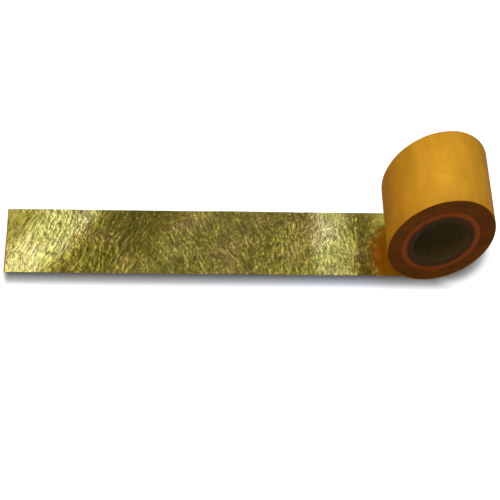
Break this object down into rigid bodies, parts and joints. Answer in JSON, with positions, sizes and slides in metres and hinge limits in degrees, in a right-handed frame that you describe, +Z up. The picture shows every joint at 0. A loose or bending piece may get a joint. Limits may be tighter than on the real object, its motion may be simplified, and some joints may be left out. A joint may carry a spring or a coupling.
{
  "type": "roll of metallic sign tape",
  "caption": "Roll of crinkled gold foil tape on a board core, partly unrolled: the tape runs flat from under the roll, foil side up, with an orange paper carrier behind.",
  "frame": {"origin": "on the table, straight below the roll's axis, at the middle of the roll's width", "axes": "+Z up; +Y along the core's axis; +X away from the tape's free end"},
  "size_m": [0.4902, 0.0843, 0.1007],
  "materials": {
    "gold_film": "crinkled metallic foil",
    "orange_carrier": "satin coated paper",
    "grey_board": "matt paperboard",
    "brown_kraft": "matt kraft board",
    "bore_paper": "smooth kraft paper",
    "clear_tab": "glossy adhesive tape"
  },
  "bodies": {
    "tape_flat": {"flat_carrier": "orange_carrier", "flat_film": "gold_film"},
    "lead_off": {"outer_turn_carrier": "orange_carrier", "outer_turn_film": "gold_film"},
    "roll": {"core_lining": "bore_paper", "core_board": "grey_board", "core_kraft": "brown_kraft", "start_tab": "clear_tab", "wound_film": "gold_film", "wound_carrier": "orange_carrier"},
    "curl_link_1": {"curl_carrier_1": "orange_carrier", "curl_film_1": "gold_film"},
    "curl_link_2": {"curl_carrier_2": "orange_carrier", "curl_film_2": "gold_film"},
    "curl_link_3": {"curl_carrier_3": "orange_carrier", "curl_film_3": "gold_film"},
    "curl_link_4": {"curl_carrier_4": "orange_carrier", "curl_film_4": "gold_film"},
    "curl_link_5": {"curl_carrier_5": "orange_carrier", "curl_film_5": "gold_film"},
    "curl_link_6": {"curl_carrier_6": "orange_carrier", "curl_film_6": "gold_film"},
    "peel_lip": {"film_lip": "gold_film"}
  },
  "joints": [
    {"name": "roll_along_table", "type": "slide", "parent": "tape_flat", "child": "lead_off", "axis": [1, 0, 0], "range_m": [-0.18, 0]},
    {"name": "roll_spin", "type": "hinge", "parent": "lead_off", "child": "roll", "pos_m": [0, 0, 0.05054], "axis": [0, 1, 0], "range_deg": [-210, 5]},
    {"name": "tail_curl", "type": "hinge", "parent": "tape_flat", "child": "curl_link_1", "pos_m": [-0.29, 0.0043, 0.00025], "axis": [0, 1, 0], "range_deg": [0, 24]},
    {"name": "tail_curl_2", "type": "hinge", "parent": "curl_link_1", "child": "curl_link_2", "pos_m": [-0.312, 0.0043, 0.00025], "axis": [0, 1, 0], "range_deg": [0, 24]},
    {"name": "tail_curl_3", "type": "hinge", "parent": "curl_link_2", "child": "curl_link_3", "pos_m": [-0.334, 0.0043, 0.00025], "axis": [0, 1, 0], "range_deg": [0, 24]},
    {"name": "tail_curl_4", "type": "hinge", "parent": "curl_link_3", "child": "curl_link_4", "pos_m": [-0.356, 0.0043, 0.00025], "axis": [0, 1, 0], "range_deg": [0, 24]},
    {"name": "tail_curl_5", "type": "hinge", "parent": "curl_link_4", "child": "curl_link_5", "pos_m": [-0.378, 0.0043, 0.00025], "axis": [0, 1, 0], "range_deg": [0, 24]},
    {"name": "tail_curl_6", "type": "hinge", "parent": "curl_link_5", "child": "curl_link_6", "pos_m": [-0.4, 0.0043, 0.00025], "axis": [0, 1, 0], "range_deg": [0, 24]},
    {"name": "film_peel", "type": "hinge", "parent": "curl_link_6", "child": "peel_lip", "pos_m": [-0.412, 0.0043, 0.00025], "axis": [0, 1, 0], "range_deg": [0, 140]}
  ],
  "couplings": [
    {"joint": "roll_spin", "follows": "roll_along_table", "rad_per_m": 19.893},
    {"joint": "tail_curl_2", "follows": "tail_curl", "ratio": 1},
    {"joint": "tail_curl_3", "follows": "tail_curl", "ratio": 1},
    {"joint": "tail_curl_4", "follows": "tail_curl", "ratio": 1},
    {"joint": "tail_curl_5", "follows": "tail_curl", "ratio": 1},
    {"joint": "tail_curl_6", "follows": "tail_curl", "ratio": 1}
  ]
}
